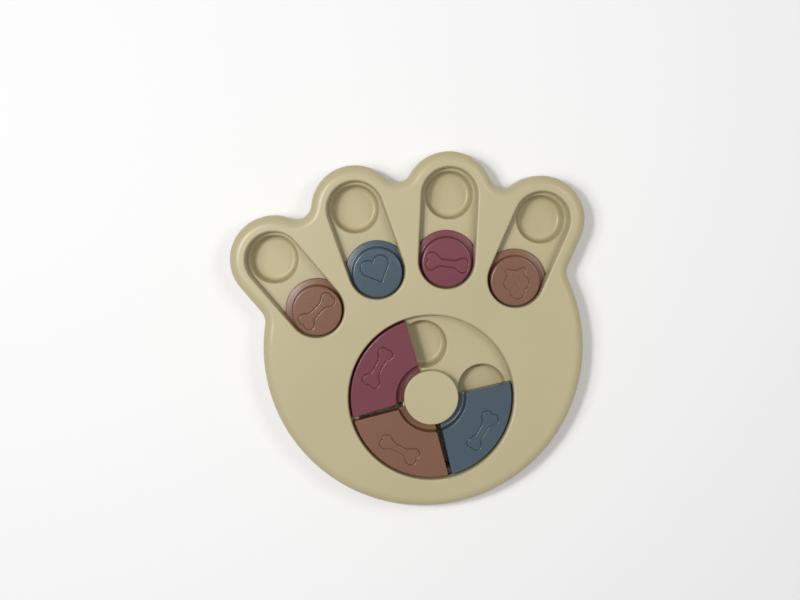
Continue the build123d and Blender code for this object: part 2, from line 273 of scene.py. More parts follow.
@dataclass(frozen=True)
class Finish:
    """A surface finish that can be made into a material.

    Attributes:
        name: The finish's name, which is also its record slot's where it dresses only one.
        colour: Display colour, 0 to 255.
        polish: Middle roughness.
        cloud: Share by which the colour varies.
        fineness: Grains across a metre.
        relief: Strength of the grain's bump.
    """

    name: str
    colour: tuple[int, int, int]
    polish: float
    cloud: float
    fineness: float
    relief: float

    grain_depth = 0.05 * MM

    def material(self) -> bpy.types.Material:
        """Give the finish as a material, building it on the first call.

        Returns:
            The material.
        """
        label = f"{self.name}_finish"
        made = bpy.data.materials.get(label)
        if made:
            return made
        made = bpy.data.materials.new(label)
        made.use_nodes = True
        made.node_tree.nodes.clear()
        made.diffuse_color = linear(*self.colour)
        bench = NodeBench(made.node_tree)
        shader = bench.add("ShaderNodeBsdfPrincipled")
        place = bench.add("ShaderNodeTexCoord").outputs["Object"]
        self.wire(bench, shader, place)
        output = bench.add("ShaderNodeOutputMaterial")
        bench.feed(output, "Surface", shader.outputs["BSDF"])
        return made

    def grain(self, bench: NodeBench, shader: bpy.types.Node, place: Any) -> bpy.types.Node:
        """Feed the shader's normal from the moulded grain.

        Args:
            bench: The material's tree.
            shader: The material's shader.
            place: Object coordinates.

        Returns:
            The placed grain group.
        """
        grain = bench.add("ShaderNodeGroup", {"node_tree": MouldedGrain().tree()}, Vector=place,
                          Colour=linear(*self.colour), Cloud=self.cloud, Fineness=self.fineness,
                          Polish=self.polish)
        bump = bench.add("ShaderNodeBump", Strength=self.relief, Distance=self.grain_depth,
                         Height=grain.outputs["Height"])
        bench.feed(shader, "Normal", bump.outputs["Normal"])
        return grain

    def wire(self, bench: NodeBench, shader: bpy.types.Node, place: Any) -> None:
        """Feed the shader.

        Args:
            bench: The material's tree.
            shader: The material's shader.
            place: Object coordinates.
        """
        grain = self.grain(bench, shader, place)
        bench.feed(shader, "Base Color", grain.outputs["Colour"])
        bench.feed(shader, "Roughness", grain.outputs["Roughness"])


@dataclass(frozen=True)
class MouldedPlastic(Finish):
    """Injection-moulded plastic with a satin grain and faint hairlines.

    Attributes:
        hairlines: Depth of the hairlines.
        index: Refractive index.
    """

    hairlines: float = 0.5
    index: float = 1.49

    hairline_shine = 0.12
    hairline_pale = 0.06

    def wire(self, bench: NodeBench, shader: bpy.types.Node, place: Any) -> None:
        """Feed the shader with grain and hairlines.

        Args:
            bench: The material's tree.
            shader: The material's shader.
            place: Object coordinates.
        """
        grain = self.grain(bench, shader, place)
        lines = bench.add("ShaderNodeGroup", {"node_tree": Hairlines().tree()}, Vector=place,
                          Depth=self.hairlines).outputs["Mask"]
        shine = bench.math("MULTIPLY", lines, self.hairline_shine)
        pale = bench.math("ADD", bench.math("MULTIPLY", lines, self.hairline_pale), 1.0)
        bench.feed(shader, "Base Color", bench.scaled(grain.outputs["Colour"], pale))
        bench.feed(shader, "Roughness", bench.math("SUBTRACT", grain.outputs["Roughness"], shine))
        shader.inputs["IOR"].default_value = self.index


@dataclass(frozen=True)
class PlatedSteel(Finish):
    """Zinc-plated steel of small fasteners."""

    def wire(self, bench: NodeBench, shader: bpy.types.Node, place: Any) -> None:
        """Feed the shader as a metal."""
        super().wire(bench, shader, place)
        shader.inputs["Metallic"].default_value = 1.0


CREAM = MouldedPlastic("cream_plastic", (190, 178, 140), polish=0.36, cloud=0.022, fineness=1900.0,
                       relief=0.22, hairlines=0.25)
PLUM = MouldedPlastic("plum_plastic", (113, 50, 62), polish=0.26, cloud=0.025, fineness=1100.0, relief=0.03)
BROWN = MouldedPlastic("brown_plastic", (124, 84, 62), polish=0.27, cloud=0.022, fineness=1100.0, relief=0.03)
BLUE = MouldedPlastic("blue_plastic", (61, 80, 92), polish=0.26, cloud=0.025, fineness=1100.0, relief=0.03)
RUBBER = Finish("foot_rubber", (150, 146, 136), polish=0.82, cloud=0.08, fineness=2600.0, relief=0.5)
STEEL = PlatedSteel("screw_steel", (176, 176, 174), polish=0.3, cloud=0.06, fineness=3200.0, relief=0.15)


class Tint(Enum):
    """Colours of the sliding pieces."""

    PLUM = PLUM
    BROWN = BROWN
    BLUE = BLUE

    @property
    def slot(self) -> str:
        """Name of the record's material slot."""
        return self.value.name


# Meshes


def finish_mesh(mesh: bpy.types.Mesh, sharp: float = 40.0) -> None:
    """Close a mesh's seams, turn its faces outwards and shade it.

    Args:
        mesh: The mesh to finish.
        sharp: Angle in degrees above which an edge stays sharp.
    """
    shape = bmesh.new()
    shape.from_mesh(mesh)
    bmesh.ops.remove_doubles(shape, verts=shape.verts, dist=MERGE_DISTANCE)
    bmesh.ops.dissolve_degenerate(shape, edges=shape.edges, dist=MERGE_DISTANCE)
    bmesh.ops.recalc_face_normals(shape, faces=shape.faces)
    shape.to_mesh(mesh)
    shape.free()
    mesh.shade_smooth()
    mesh.set_sharp_from_angle(angle=math.radians(sharp))


def add_object(name: str, data: Any) -> bpy.types.Object:
    """Make an object and link it to the scene.

    Args:
        name: The object's name.
        data: Its mesh, light or camera.

    Returns:
        The new object.
    """
    made = bpy.data.objects.new(name, data)
    bpy.context.scene.collection.objects.link(made)
    return made


def new_piece(name: str, points: np.ndarray, faces: list[Any], finish: Finish) -> bpy.types.Object:
    """Make a finished mesh object at the origin.

    Args:
        name: The piece's name.
        points: Its points, one row each.
        faces: Its faces as point numbers.
        finish: Its finish.

    Returns:
        The new object.
    """
    mesh = bpy.data.meshes.new(name)
    mesh.from_pydata(points.tolist(), [], faces)
    finish_mesh(mesh)
    mesh.materials.append(finish.material())
    return add_object(name, mesh)


def grid_faces(rows: int, columns: int, closed_rows: bool, closed_columns: bool) -> list[tuple[int, ...]]:
    """List the quads of a grid of sections.

    Args:
        rows: Points along a section.
        columns: Sections along the sweep.
        closed_rows: Whether a section's last point meets its first.
        closed_columns: Whether the last section meets the first.

    Returns:
        The quads as point numbers, with each section's points together.
    """
    quads = []
    for column in range(columns if closed_columns else columns - 1):
        after = (column + 1) % columns
        for row in range(rows if closed_rows else rows - 1):
            up = (row + 1) % rows
            quads.append((column * rows + row, column * rows + up,
                          after * rows + up, after * rows + row))
    return quads


def arc(centre: tuple[float, float], radius: float, start: float, end: float, steps: int) -> np.ndarray:
    """Give points on an arc of a section, from one angle in degrees to another."""
    angles = np.radians(np.linspace(start, end, steps))
    return np.stack([centre[0] + radius * np.cos(angles), centre[1] + radius * np.sin(angles)], axis=1)


# Raised figures


def smooth_join(first: np.ndarray, second: np.ndarray, blend: float) -> np.ndarray:
    """Join two distance fields, negative inside, with a soft corner of some width."""
    share = np.clip(0.5 + 0.5 * (second - first) / blend, 0.0, 1.0)
    return second * (1 - share) + first * share - blend * share * (1 - share)


def pear(spot: tuple[np.ndarray, np.ndarray], start: tuple[float, float], start_radius: float,
         end: tuple[float, float], end_radius: float) -> np.ndarray:
    """Give the distance to the hull of two circles.

    Args:
        spot: Points' x and y.
        start: First circle's centre.
        start_radius: First circle's radius.
        end: Second circle's centre.
        end_radius: Second circle's radius.

    Returns:
        The distances, negative inside.
    """
    run = np.subtract(end, start)
    length = math.hypot(*run)
    run = run / length
    x, y = spot[0] - start[0], spot[1] - start[1]
    along, across = x * run[0] + y * run[1], np.abs(x * run[1] - y * run[0])
    slope = (start_radius - end_radius) / length
    lean = math.sqrt(1 - slope * slope)
    reach = along * lean - across * slope
    side = across * lean + along * slope - start_radius
    near = np.hypot(along, across) - start_radius
    far = np.hypot(along - length, across) - end_radius
    return np.where(reach < 0, near, np.where(reach > length * lean, far, side))


class Figure:
    """A flat figure, given by the distance to its outline and to its inner lines."""

    far_off = 1.0

    def field(self, x: np.ndarray, y: np.ndarray) -> np.ndarray:
        """Give the distance to the figure's outline, negative inside."""
        raise NotImplementedError

    def veins(self, x: np.ndarray, y: np.ndarray) -> np.ndarray:
        """Give the distance to the figure's inner lines, or a far one where it has none."""
        return np.full_like(x, self.far_off)


@dataclass(frozen=True)
class Bone(Figure):
    """Bone that lies along x, its thick end towards -x.

    Attributes:
        length: Overall length.
        thick_width: Width over the two knobs of the thick end.
        thick_knob: Radius of a knob of the thick end.
        thin_width: Width over the two knobs of the thin end.
        thin_knob: Radius of a knob of the thin end.
        shaft: Width of the shaft.
        blend: Softness of the necks.
    """

    length: float = 25.6 * MM
    thick_width: float = 10.9 * MM
    thick_knob: float = 3.0 * MM
    thin_width: float = 8.7 * MM
    thin_knob: float = 2.5 * MM
    shaft: float = 4.3 * MM
    blend: float = 5.0 * MM

    def field(self, x: np.ndarray, y: np.ndarray) -> np.ndarray:
        """Give the distance to the bone's outline.

        Args:
            x: Points' x.
            y: Points' y.

        Returns:
            The distances, negative inside.
        """
        half = self.length / 2
        whole = pear((x, y), (2 * self.thick_knob - half, 0.0), self.shaft / 2,
                     (half - 2 * self.thin_knob, 0.0), self.shaft / 2)
        for side, width, knob in ((-1, self.thick_width, self.thick_knob),
                                  (1, self.thin_width, self.thin_knob)):
            end = np.hypot(x - side * (half - knob), np.abs(y) - (width / 2 - knob)) - knob
            whole = smooth_join(whole, end, self.blend)
        return whole


@dataclass(frozen=True)
class Heart(Figure):
    """Heart with its point towards -y.

    Attributes:
        lobe_radius: Radius of a lobe.
        lobe_spread: Lobe's centre from the middle.
        depth: Length from a lobe's centre to the tip's centre.
        tip_radius: Radius of the tip.
        blend: Softness of the cleft.
    """

    lobe_radius: float = 4.8 * MM
    lobe_spread: float = 4.2 * MM
    depth: float = 9.7 * MM
    tip_radius: float = 1.0 * MM
    blend: float = 0.8 * MM

    def field(self, x: np.ndarray, y: np.ndarray) -> np.ndarray:
        """Give the distance to the heart's outline.

        Args:
            x: Points' x.
            y: Points' y.

        Returns:
            The distances, negative inside.
        """
        halves = [pear((x, y), (side * self.lobe_spread, self.depth / 2), self.lobe_radius,
                       (0.0, -self.depth / 2), self.tip_radius) for side in (-1, 1)]
        return smooth_join(halves[0], halves[1], self.blend)


@dataclass(frozen=True)
class Acorn(Figure):
    """Acorn with its nut towards -y, below a cap and two short leaves.

    Attributes:
        cap_width: Width of the cap.
        cap_height: Height of the cap.
        cap_drop: Cap's middle below the figure's middle.
        nut_radius: Radius of the nut below the cap.
        tip_radius: Radius of the nut's tip.
        tip_drop: Tip's centre below the figure's middle.
        leaf_root: Leaf's root radius.
        leaf_tip: Leaf's tip radius.
        leaf_spread: Leaf tip's centre from the middle.
        leaf_rise: Leaf tip's centre above the figure's middle.
        blend: Softness of the corners.
    """

    cap_width: float = 15.6 * MM
    cap_height: float = 8.6 * MM
    cap_drop: float = 1.0 * MM
    nut_radius: float = 5.7 * MM
    tip_radius: float = 4.4 * MM
    tip_drop: float = 6.5 * MM
    leaf_root: float = 3.6 * MM
    leaf_tip: float = 1.4 * MM
    leaf_spread: float = 5.0 * MM
    leaf_rise: float = 7.0 * MM
    blend: float = 1.1 * MM

    # Start, bow and end of each inner line, in mm
    vein_curves = (((-2.6, 6.6), (-2.2, 0.2), (1.6, -4.1)), ((0.5, 6.4), (2.2, 2.7), (2.2, -1.8)))
    vein_steps = 24

    def field(self, x: np.ndarray, y: np.ndarray) -> np.ndarray:
        """Give the distance to the acorn's outline.

        Args:
            x: Points' x.
            y: Points' y.

        Returns:
            The distances, negative inside.
        """
        half = self.cap_width / 2 - self.cap_height / 2
        cap = pear((x, y), (-half, -self.cap_drop), self.cap_height / 2, (half, -self.cap_drop),
                   self.cap_height / 2)
        nut = pear((x, y), (0.0, -self.cap_drop), self.nut_radius, (0.0, -self.tip_drop), self.tip_radius)
        whole = smooth_join(cap, nut, self.blend)
        for side in (-1, 1):
            leaf = pear((x, y), (side * self.leaf_root / 2, self.leaf_root), self.leaf_root,
                        (side * self.leaf_spread, self.leaf_rise), self.leaf_tip)
            whole = smooth_join(whole, leaf, self.blend)
        return whole

    def veins(self, x: np.ndarray, y: np.ndarray) -> np.ndarray:
        """Give the distance to the two curved lines that run down from the leaves.

        Args:
            x: Points' x.
            y: Points' y.

        Returns:
            The distances.
        """
        lines = []
        for start, bow, end in self.vein_curves:
            for step in np.linspace(0.0, 1.0, self.vein_steps):
                spot = [MM * ((1 - step) ** 2 * a + 2 * step * (1 - step) * b + step**2 * c)
                        for a, b, c in zip(start, bow, end)]
                lines.append(np.hypot(x - spot[0], y - spot[1]))
        return np.min(lines, axis=0)


@dataclass(frozen=True)
class Relief:
    """How a figure stands out of its slider.

    Attributes:
        figure: The figure.
        centre: Its middle, seen from above.
        turn: Its turn in radians.
        height: Its height.
        wall: Width over which its wall rises.
        groove: Depth of the fine groove round its foot.
        groove_width: Width from that groove's middle to its edge.
        bead: Height of its inner lines, which end level with its top.
        bead_width: Width from an inner line's middle to its edge.
    """

    figure: Figure
    centre: tuple[float, float]
    turn: float
    height: float = 0.5 * MM
    wall: float = 0.4 * MM
    groove: float = 0.4 * MM
    groove_width: float = 0.32 * MM
    bead: float = 0.3 * MM
    bead_width: float = 0.28 * MM

    def rise(self, x: np.ndarray, y: np.ndarray) -> np.ndarray:
        """Give how far the surface stands above its plain top.

        Args:
            x: Points' x.
            y: Points' y.

        Returns:
            The rises.
        """
        cosine, sine = math.cos(self.turn), math.sin(self.turn)
        dx, dy = x - self.centre[0], y - self.centre[1]
        flat_x, flat_y = dx * cosine + dy * sine, dy * cosine - dx * sine
        inside = -self.figure.field(flat_x, flat_y)
        share = np.clip(inside / self.wall, 0.0, 1.0)
        foot = np.exp(-((inside / self.groove_width) ** 2))
        veins = self.figure.veins(flat_x, flat_y)
        line = np.exp(-((veins / self.bead_width) ** 2))
        top = self.height if veins.min() > self.height else self.height - self.bead * (1 - line)
        return top * share * share * (3 - 2 * share) - self.groove * foot


# Sliding pieces


@dataclass
class ToePuck:
    """Round button on a wide flange that slides along a toe slot.

    Attributes:
        number: The toe's number, from left to right.
        tint: Its colour.
        figure: The figure raised on its button.
        turn: The figure's turn in degrees.
        shift: The figure's middle from the button's.
        button_radius: Button's radius at its root.
        taper: How much the button narrows to its top.
        edge_round: Rounding of the button's upper edge.
        root_round: Hollow rounding at the button's root.
        flange_thickness: Thickness of the flange.
        flange_round: Rounding of the flange's edges.
        wall: Thickness of the button's top and side.
        dome: Rise of the button's middle.
        rings: Rows of points on the button's top.
        spokes: Columns of points round the puck.
    """

    number: int
    tint: Tint
    figure: Figure
    turn: float
    shift: tuple[float, float] = (0.0, 0.0)
    button_radius: float = 15.5 * MM
    taper: float = 0.1 * MM
    edge_round: float = 1.1 * MM
    root_round: float = 0.8 * MM
    flange_thickness: float = 2.4 * MM
    flange_round: float = 0.6 * MM
    wall: float = 2.0 * MM
    dome: float = 0.1 * MM
    rings: int = 110
    spokes: int = 560

    # Points on each rounding
    edge_steps = 8
    root_steps = 6
    lip_steps = 5

    @property
    def node(self) -> str:
        """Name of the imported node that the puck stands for."""
        return f"toe_puck_{self.number}"

    def section(self, reach: float, under: float, top: float) -> np.ndarray:
        """Give half of the puck's section, from the axis over the top and back to the axis below.

        Args:
            reach: Radius of the flange.
            under: Height of the flange's underside.
            top: Height of the button's middle.

        Returns:
            Rows of radius and height.
        """
        shelf = under + self.flange_thickness
        flat = self.button_radius - self.taper - self.edge_round
        across = np.linspace(0.0, flat, self.rings)
        crown = np.stack([across, top - self.dome * (across / flat) ** 2], axis=1)
        rim = reach - self.flange_round
        hollow = self.button_radius - self.taper - self.wall
        roof = top - self.dome - self.wall
        return np.concatenate([
            crown[:-1],
            arc((flat, top - self.dome - self.edge_round), self.edge_round, 90, 0, self.edge_steps),
            arc((self.button_radius + self.root_round, shelf + self.root_round), self.root_round, 180, 270,
                self.root_steps),
            arc((rim, shelf - self.flange_round), self.flange_round, 90, 0, self.lip_steps),
            arc((rim, under + self.flange_round), self.flange_round, 0, -90, self.lip_steps),
            np.array([(hollow, under), (hollow, roof), (0.0, roof)]),
        ])

    def build(self) -> bpy.types.Object:
        """Turn the section round the puck's axis and raise the figure.

        Returns:
            The puck.
        """
        low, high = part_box(self.node)
        centre = (low + high) / 2
        spot = (centre.x + self.shift[0], centre.y + self.shift[1])
        relief = Relief(self.figure, spot, math.radians(self.turn))
        section = self.section((high.x - low.x) / 2, low.z, high.z - relief.height)
        angles = np.linspace(0.0, 2 * math.pi, self.spokes, endpoint=False)
        x = centre.x + np.outer(np.cos(angles), section[:, 0])
        y = centre.y + np.outer(np.sin(angles), section[:, 0])
        z = np.tile(section[:, 1], (self.spokes, 1))
        z[:, :self.rings] += relief.rise(x[:, :self.rings], y[:, :self.rings])
        points = np.stack([x, y, z], axis=-1).reshape(-1, 3)
        faces = grid_faces(len(section), self.spokes, closed_rows=False, closed_columns=True)
        piece = new_piece(f"puck_{self.number}_moulding", points, faces, self.tint.value)
        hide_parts(self.node)
        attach(piece, f"puck_{self.number}")
        return piece


class Part(Enum):
    """Stretches of a ring slider's section."""

    FLANGE = 0
    INNER = 1
    TOP = 2
    OUTER = 3
    HOLLOW = 4


@dataclass
class RingSlider:
    """Curved block on a flange that turns round the hub.

    Attributes:
        tint: Its colour.
        block_inner: Block's inner radius at its root.
        block_outer: Block's outer radius at its root.
        taper: How much the block's curved sides draw in to its top.
        edge_round: Rounding of the block's upper edge.
        corner_round: Rounding of the block's upright corners.
        end_slant: How far the slider's ends draw back at the block's inner side.
        root_round: Hollow rounding at the block's root.
        flange_thickness: Thickness of the flange.
        flange_round: Rounding of the flange's edges.
        wall: Thickness of the block's top and sides.
        bone_inset: Bone's middle in from the block's outer face.
        bone_shift: Bone's middle clockwise from the slider's.
        bone_turn: Turn of the bone in degrees.
        rows: Rows of points across the block's top.
        columns: Columns of points along half of the block.
    """

    tint: Tint
    block_inner: float = 21.5 * MM
    block_outer: float = 50.6 * MM
    taper: float = 0.35 * MM
    edge_round: float = 0.6 * MM
    corner_round: float = 1.2 * MM
    end_slant: float = 1.2 * MM
    root_round: float = 1.2 * MM
    flange_thickness: float = 2.4 * MM
    flange_round: float = 0.5 * MM
    wall: float = 2.0 * MM
    bone_inset: float = 12.4 * MM
    bone_shift: float = 0.9 * MM
    bone_turn: float = 2.0
    rows: int = 170
    columns: int = 165

    # Points on each rounding
    lip_steps = 4
    root_steps = 6
    edge_steps = 7
    corner_steps = 9
    # Width of the step from the closed end to the hollow
    hollow_step = 0.02 * MM
    # Corner roundings over which an end's slant fades
    slant_fade = 3

    @property
    def colour(self) -> str:
        """Plain name of the slider's colour."""
        return self.tint.name.lower()

    def polar(self, hub: Vector) -> tuple[float, float, float, float]:
        """Read the slider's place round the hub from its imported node.

        Args:
            hub: The hub's middle.

        Returns:
            Inner radius, outer radius, middle angle and span in radians.
        """
        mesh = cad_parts[f"ring_slider_{self.colour}"].data
        spots = np.array([vertex.co.xy for vertex in mesh.vertices]) - np.array(hub.xy)
        radii = np.hypot(spots[:, 0], spots[:, 1])
        guess = math.atan2(*spots.mean(axis=0)[::-1])
        turned = (np.arctan2(spots[:, 1], spots[:, 0]) - guess + math.pi) % (2 * math.pi) - math.pi
        return radii.min(), radii.max(), guess + (turned.min() + turned.max()) / 2, np.ptp(turned)

    def section(self, inner: float, outer: float, under: float, top: float) -> tuple[np.ndarray, list[Part]]:
        """Give the slider's section, round from the flange's inner edge over the top.

        Args:
            inner: Flange's inner radius.
            outer: Flange's outer radius.
            under: Height of the flange's underside.
            top: Height of the block's top.

        Returns:
            Rows of radius and height, and the stretch that each belongs to.
        """
        shelf, lip = under + self.flange_thickness, self.flange_round
        root, edge = self.root_round, self.edge_round
        near, far = self.block_inner + self.taper + edge, self.block_outer - self.taper - edge
        hollow_near, hollow_far = self.block_inner + self.wall, self.block_outer - self.wall
        stretches = [
            (Part.FLANGE, arc((inner + lip, under + lip), lip, 270, 180, self.lip_steps)),
            (Part.FLANGE, arc((inner + lip, shelf - lip), lip, 180, 90, self.lip_steps)),
            (Part.INNER, arc((self.block_inner - root, shelf + root), root, 270, 360, self.root_steps)),
            (Part.INNER, arc((near, top - edge), edge, 180, 90, self.edge_steps)),
            (Part.TOP, np.stack([np.linspace(near, far, self.rows), np.full(self.rows, top)], axis=1)[1:-1]),
            (Part.OUTER, arc((far, top - edge), edge, 90, 0, self.edge_steps)),
            (Part.OUTER, arc((self.block_outer + root, shelf + root), root, 180, 270, self.root_steps)),
            (Part.FLANGE, arc((outer - lip, shelf - lip), lip, 90, 0, self.lip_steps)),
            (Part.FLANGE, arc((outer - lip, under + lip), lip, 0, -90, self.lip_steps)),
            (Part.HOLLOW, np.array([(hollow_far, under), (hollow_far, top - self.wall),
                                    (hollow_near, top - self.wall), (hollow_near, under)])),
        ]
        parts = [part for part, points in stretches for _ in points]
        return np.concatenate([points for _, points in stretches]), parts

    def stations(self, span: float) -> np.ndarray:
        """Give the angles of the sections, close together at the block's ends.

        Args:
            span: The slider's span in radians.

        Returns:
            The angles from the slider's middle, in order.
        """
        middle = (self.block_inner + self.block_outer) / 2
        close = self.corner_round * (1 - np.cos(np.radians(np.linspace(0, 90, self.corner_steps))))
        hollow_start = (self.wall + self.end_slant) * middle / self.block_inner
        far = np.linspace(hollow_start, span / 2 * middle, self.columns)
        between = [(self.corner_round + hollow_start) / 2, hollow_start - self.hollow_step]
        depths = np.concatenate([close, between, far])
        angles = span / 2 - depths / middle
        return np.concatenate([-angles[:-1], angles[::-1]])

    def build(self, hub: Vector) -> bpy.types.Object:
        """Sweep the section round the hub, round its ends and raise the bone.

        Args:
            hub: The hub's middle.

        Returns:
            The slider.
        """
        node = f"ring_slider_{self.colour}"
        low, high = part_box(node)
        inner, outer, middle, span = self.polar(hub)
        at = self.block_outer - self.bone_inset
        bone_at = middle - self.bone_shift / at
        centre = (hub.x + at * math.cos(bone_at), hub.y + at * math.sin(bone_at))
        relief = Relief(Bone(), centre, bone_at - math.pi / 2 + math.radians(self.bone_turn))
        top, shelf = high.z - relief.height, low.z + self.flange_thickness
        section, parts = self.section(inner, outer, low.z, top)
        stations = self.stations(span)

        angles = np.repeat(stations[:, None], len(section), axis=1)
        radii = np.tile(section[:, 0], (len(stations), 1))
        heights = np.tile(section[:, 1], (len(stations), 1))
        depth = radii * np.sin(span / 2 - np.abs(angles))
        stretch = {part: np.array([p is part for p in parts]) for part in Part}
        block = stretch[Part.INNER] | stretch[Part.TOP] | stretch[Part.OUTER]

        def corner(radius: float) -> np.ndarray:
            """Give how far a rounding of that radius takes the surface in, by depth from the end."""
            return radius - np.sqrt(np.maximum(radius**2 - np.maximum(radius - depth, 0.0) ** 2, 0.0))

        inset = corner(self.corner_round)
        outward = np.minimum((radii - self.block_inner) / (self.block_outer - self.block_inner), 1.0)
        lean = np.where(stretch[Part.INNER], -1.0, np.where(stretch[Part.OUTER], 1.0, 2 * outward - 1))
        radii = np.where(block, radii - inset * lean, radii)
        share = np.clip((heights - shelf) / (top - shelf), 0.0, 1.0)
        drop = corner(self.edge_round) * share
        fade = np.clip(1 - depth / (self.slant_fade * self.corner_round), 0.0, 1.0)
        angles -= np.sign(angles) * self.end_slant * (1 - outward) * fade / radii
        heights = np.where(block, heights - drop, heights)
        shut = np.abs(stations) > span / 2 - (self.wall + self.end_slant) / self.block_inner
        heights[np.ix_(shut, stretch[Part.HOLLOW])] = low.z

        x = hub.x + radii * np.cos(middle + angles)
        y = hub.y + radii * np.sin(middle + angles)
        heights[:, stretch[Part.TOP]] += relief.rise(x[:, stretch[Part.TOP]], y[:, stretch[Part.TOP]])
        points = np.stack([x, y, heights], axis=-1).reshape(-1, 3)
        count = len(section)
        faces: list[Any] = grid_faces(count, len(stations), closed_rows=True, closed_columns=False)
        for start, column in ((0, 0), ((len(stations) - 1) * count, -1)):
            outline = [Vector((r, z, 0.0)) for r, z in zip(radii[column], heights[column])]
            faces += [tuple(start + k for k in face) for face in tessellate_polygon([outline])]
        piece = new_piece(f"slider_{self.colour}_moulding", points, faces, self.tint.value)
        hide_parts(node)
        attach(piece, f"slider_{self.colour}")
        return piece


# Repeated pieces


def middles(*nodes: str, reach: float = 8.0 * MM) -> list[Vector]:
    """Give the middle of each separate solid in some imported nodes.

    Args:
        nodes: Names of the nodes.
        reach: Distance, seen from above, within which points belong together.

    Returns:
        The middle of each solid's box at the height of its lowest point.
    """
    groups: list[list[Vector]] = []
    for node in nodes:
        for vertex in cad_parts[node].data.vertices:
            near = next((g for g in groups if (g[0].xy - vertex.co.xy).length < reach), None)
            if near is None:
                groups.append([vertex.co.copy()])
            else:
                near.append(vertex.co.copy())
    spots = []
    for group in groups:
        low = Vector(map(min, *group))
        high = Vector(map(max, *group))
        spots.append(Vector(((low.x + high.x) / 2, (low.y + high.y) / 2, low.z)))
    return spots


class Recipe:
    """A geometry node tree that sets one made shape on each given point."""

    name: str = ""
    seed: int = 7

    def sizes(self) -> dict[str, float]:
        """Give the tree's named inputs and their values."""
        raise NotImplementedError

    def shape(self, bench: NodeBench, given: Any) -> Any:
        """Build one shape at the origin from the tree's input sockets."""
        raise NotImplementedError

    def tree(self, finish: Finish) -> bpy.types.GeometryNodeTree:
        """Build the tree: the shape on every point, each turned by chance about Z.

        Args:
            finish: Finish of the shapes.

        Returns:
            The node tree.
        """
        made = bpy.data.node_groups.new(self.name, "GeometryNodeTree")
        made.interface.new_socket(name="Points", in_out="INPUT", socket_type="NodeSocketGeometry")
        for label in self.sizes():
            made.interface.new_socket(name=label, in_out="INPUT", socket_type="NodeSocketFloat")
        made.interface.new_socket(name="Geometry", in_out="OUTPUT", socket_type="NodeSocketGeometry")
        bench = NodeBench(made)
        given = made.nodes.new("NodeGroupInput").outputs
        turn = bench.add("FunctionNodeRandomValue", {"data_type": "FLOAT_VECTOR"}, Min=(0.0, 0.0, 0.0),
                         Max=(0.0, 0.0, 2 * math.pi), Seed=self.seed)
        placed = bench.add("GeometryNodeInstanceOnPoints", Points=given["Points"],
                           Instance=self.shape(bench, given), Rotation=turn.outputs["Value"])
        real = bench.add("GeometryNodeRealizeInstances", Geometry=placed.outputs["Instances"])
        dressed = bench.add("GeometryNodeSetMaterial", Geometry=real.outputs["Geometry"],
                            Material=finish.material())
        bench.feed(made.nodes.new("NodeGroupOutput"), "Geometry", dressed.outputs["Geometry"])
        return made

    def build(self, name: str, spots: list[Vector], finish: Finish) -> bpy.types.Object:
        """Run the tree on some points and keep its plain mesh.

        Args:
            name: Name of the piece.
            spots: The points.
            finish: Finish of the shapes.

        Returns:
            The piece, as one mesh at the origin.
        """
        base = bpy.data.meshes.new(f"{name}_points")
        base.from_pydata([tuple(spot) for spot in spots], [], [])
        holder = add_object(f"{name}_points", base)
        steps = holder.modifiers.new(self.name, "NODES")
        steps.node_group = self.tree(finish)
        values = self.sizes()
        for item in steps.node_group.interface.items_tree:
            if item.in_out == "INPUT" and item.name in values:
                steps[item.identifier] = values[item.name]
        ready = holder.evaluated_get(bpy.context.evaluated_depsgraph_get())
        mesh = bpy.data.meshes.new_from_object(ready)
        holder.modifiers.remove(steps)
        bpy.data.objects.remove(holder)
        mesh.name = name
        finish_mesh(mesh)
        return add_object(name, mesh)


def moved(bench: NodeBench, shape: Any, height: Any) -> Any:
    """Shift a shape's geometry socket along Z."""
    shift = bench.add("ShaderNodeCombineXYZ", Z=height).outputs["Vector"]
    return bench.add("GeometryNodeTransform", Geometry=shape, Translation=shift).outputs["Geometry"]


